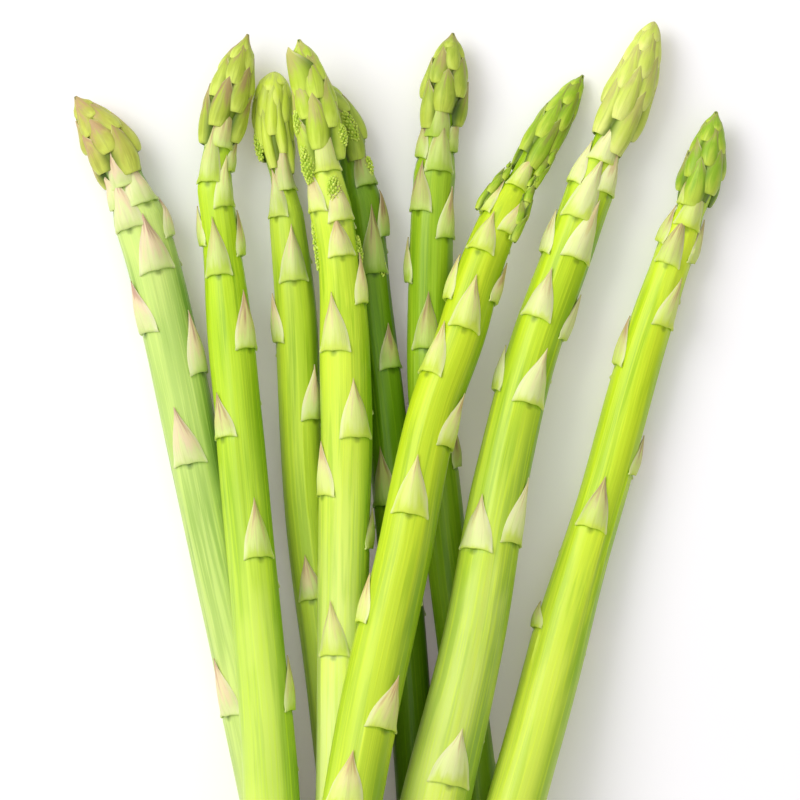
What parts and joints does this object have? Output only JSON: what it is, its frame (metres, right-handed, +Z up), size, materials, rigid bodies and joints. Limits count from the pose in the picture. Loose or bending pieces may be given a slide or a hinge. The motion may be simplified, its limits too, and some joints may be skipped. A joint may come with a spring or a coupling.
{
  "type": "bundle of asparagus",
  "caption": "Loose bundle of green asparagus spears lying flat, with fanned pointed heads of packed scales, round tapering stems with pointed scale leaves, and plain cut butts.",
  "frame": {"origin": "middle of the bundle's box, on the surface that it lies on", "axes": "+Y from the cut butts towards the tips, +X to the right as seen from above with the tips away, +Z up"},
  "size_m": [0.1508, 0.2188, 0.0397],
  "materials": {
    "skin_fresh": "satin",
    "skin_pale": "satin",
    "skin_cool": "satin",
    "scale_leaf": "matte",
    "head_scale": "satin",
    "cut_end": "matte"
  },
  "bodies": {
    "root": {"spear_a": "skin_cool", "spear_b": "skin_fresh", "spear_c": "skin_fresh", "spear_d": "skin_pale", "spear_e": "skin_fresh", "spear_f": "skin_fresh", "spear_g": "skin_cool", "spear_h": "skin_pale", "spear_i": "skin_pale"}
  },
  "joints": []
}
